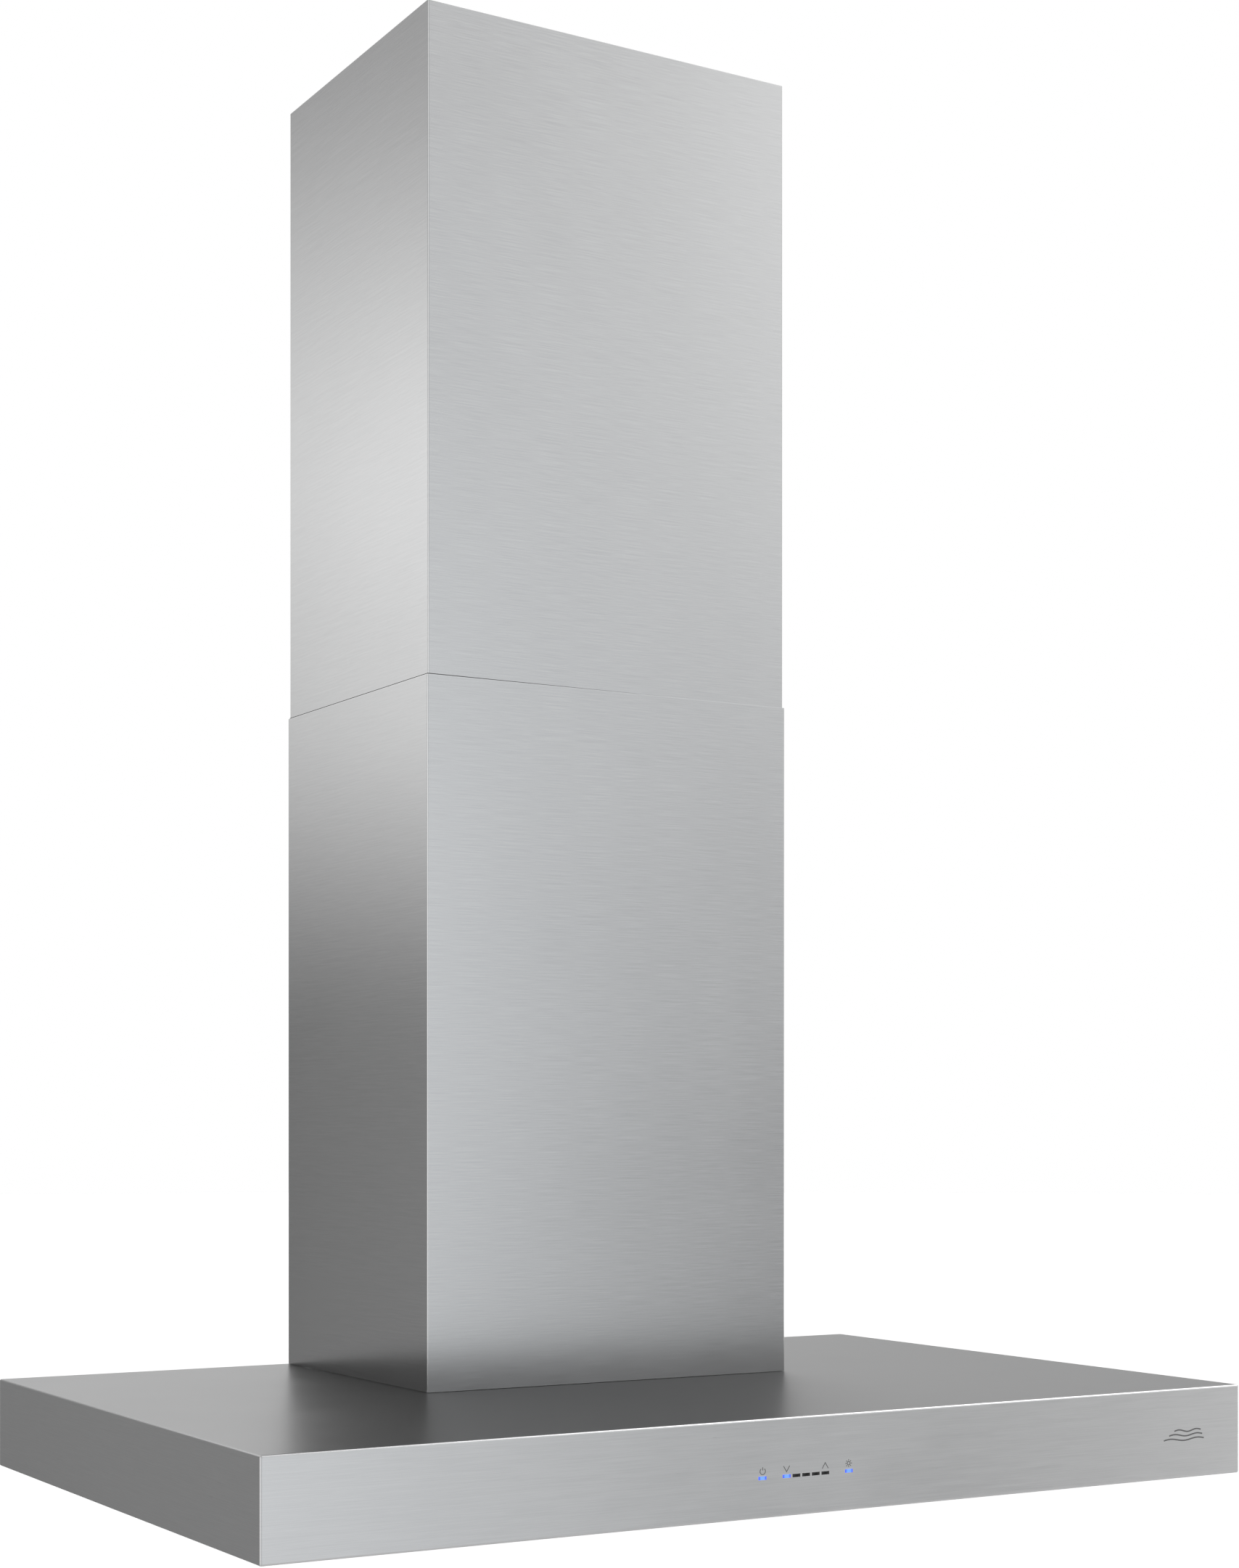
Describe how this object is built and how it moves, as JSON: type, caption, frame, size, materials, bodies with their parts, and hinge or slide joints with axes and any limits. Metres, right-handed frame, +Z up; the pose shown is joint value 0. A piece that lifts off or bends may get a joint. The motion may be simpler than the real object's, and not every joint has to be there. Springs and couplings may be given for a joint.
{
  "type": "chimney range hood",
  "caption": "Wall-mounted chimney range hood with a flat box canopy, telescopic duct cover, touch controls, baffle filters, lamps, centrifugal blower and damper collar.",
  "frame": {"origin": "centre of the canopy's bottom rim", "axes": "+X to the right along the canopy, +Y back towards the wall, +Z up; the controls face -Y"},
  "size_m": [0.76, 0.5, 1.0447],
  "materials": {
    "brushed_steel": "stainless steel, fine brushed grain",
    "filter_steel": "polished stainless sheet",
    "latch_steel": "satin",
    "galvanised": "zinc-coated sheet, spangled",
    "damper_metal": "mill finish",
    "fastener_steel": "zinc-plated",
    "nut_brass": "machined",
    "lamp_trim": "polished",
    "lamp_glass": "frosted",
    "lamp_body": "die cast",
    "light_guide": "clear, lit blue or dark behind the windows",
    "circuit_board": "solder mask",
    "black_plastic": "moulded, fine texture",
    "capacitor_case": "smooth",
    "motor_paint": "satin",
    "wire_white": "wire jacket",
    "wire_grey": "wire jacket",
    "wire_black": "wire jacket"
  },
  "bodies": {
    "hood": {"canopy_shell": "brushed_steel", "underside_panel": "brushed_steel", "lower_duct_cover": "brushed_steel", "rear_panel": "galvanised", "blower_box": "galvanised", "scroll_housing": "galvanised", "outlet_collar": "galvanised", "hanging_rail": "galvanised", "cover_clip_left": "galvanised", "cover_clip_right": "galvanised", "motor_bracket": "galvanised", "junction_box": "galvanised", "junction_box_lid": "galvanised", "box_screw_1": "fastener_steel", "box_screw_2": "fastener_steel", "box_screw_3": "fastener_steel", "box_screw_4": "fastener_steel", "clip_screw_left": "fastener_steel", "clip_screw_right": "fastener_steel", "damper_pin": "fastener_steel", "lamp_ring_left": "lamp_trim", "lamp_ring_right": "lamp_trim", "lamp_lens_left": "lamp_glass", "lamp_lens_right": "lamp_glass", "lamp_housing_left": "lamp_body", "lamp_housing_right": "lamp_body", "light_guide": "light_guide", "control_board": "circuit_board", "control_cover": "black_plastic", "power_module": "black_plastic", "inlet_ring_left": "black_plastic", "inlet_ring_right": "black_plastic", "cable_gland": "black_plastic", "capacitor": "capacitor_case", "motor": "motor_paint", "lamp_lead_left": "wire_white", "lamp_lead_right": "wire_white", "supply_lead": "wire_white", "control_lead": "wire_grey", "motor_lead": "wire_black"},
    "upper_cover": {"upper_duct_cover": "brushed_steel", "upper_wall_bracket": "galvanised", "bracket_screw_left": "fastener_steel", "bracket_screw_right": "fastener_steel"},
    "impeller_wheel": {"impeller": "black_plastic", "impeller_shaft": "fastener_steel", "impeller_nut": "nut_brass"},
    "damper_front": {"damper_flap_front": "damper_metal"},
    "damper_rear": {"damper_flap_rear": "damper_metal"},
    "filter_left": {"filter_frame_left": "filter_steel", "baffles_lower_left": "filter_steel", "baffles_upper_left": "filter_steel"},
    "latch_left": {"filter_latch_left": "latch_steel"},
    "filter_right": {"filter_frame_right": "filter_steel", "baffles_lower_right": "filter_steel", "baffles_upper_right": "filter_steel"},
    "latch_right": {"filter_latch_right": "latch_steel"}
  },
  "joints": [
    {"name": "upper_cover_slide", "type": "slide", "parent": "hood", "child": "upper_cover", "axis": [0, 0, 1], "range_m": [-0.42, 0.035]},
    {"name": "impeller_spin", "type": "hinge", "parent": "hood", "child": "impeller_wheel", "pos_m": [0, 0.124, 0.188], "axis": [1, 0, 0], "continuous": true},
    {"name": "damper_front_hinge", "type": "hinge", "parent": "hood", "child": "damper_front", "pos_m": [0, 0.124, 0.398], "axis": [1, 0, 0], "range_deg": [-80, 0]},
    {"name": "damper_rear_hinge", "type": "hinge", "parent": "hood", "child": "damper_rear", "pos_m": [0, 0.124, 0.398], "axis": [1, 0, 0], "range_deg": [0, 80]},
    {"name": "filter_tilt_left", "type": "hinge", "parent": "hood", "child": "filter_left", "pos_m": [-0.163, 0.199, 0.0134], "axis": [1, 0, 0], "range_deg": [0, 70]},
    {"name": "latch_slide_left", "type": "slide", "parent": "filter_left", "child": "latch_left", "axis": [0, 1, 0], "range_m": [0, 0.008], "stiffness_N_per_m": 300, "springref_m": -0.008},
    {"name": "filter_tilt_right", "type": "hinge", "parent": "hood", "child": "filter_right", "pos_m": [0.163, 0.199, 0.0134], "axis": [1, 0, 0], "range_deg": [0, 70]},
    {"name": "latch_slide_right", "type": "slide", "parent": "filter_right", "child": "latch_right", "axis": [0, 1, 0], "range_m": [0, 0.008], "stiffness_N_per_m": 300, "springref_m": -0.008}
  ]
}
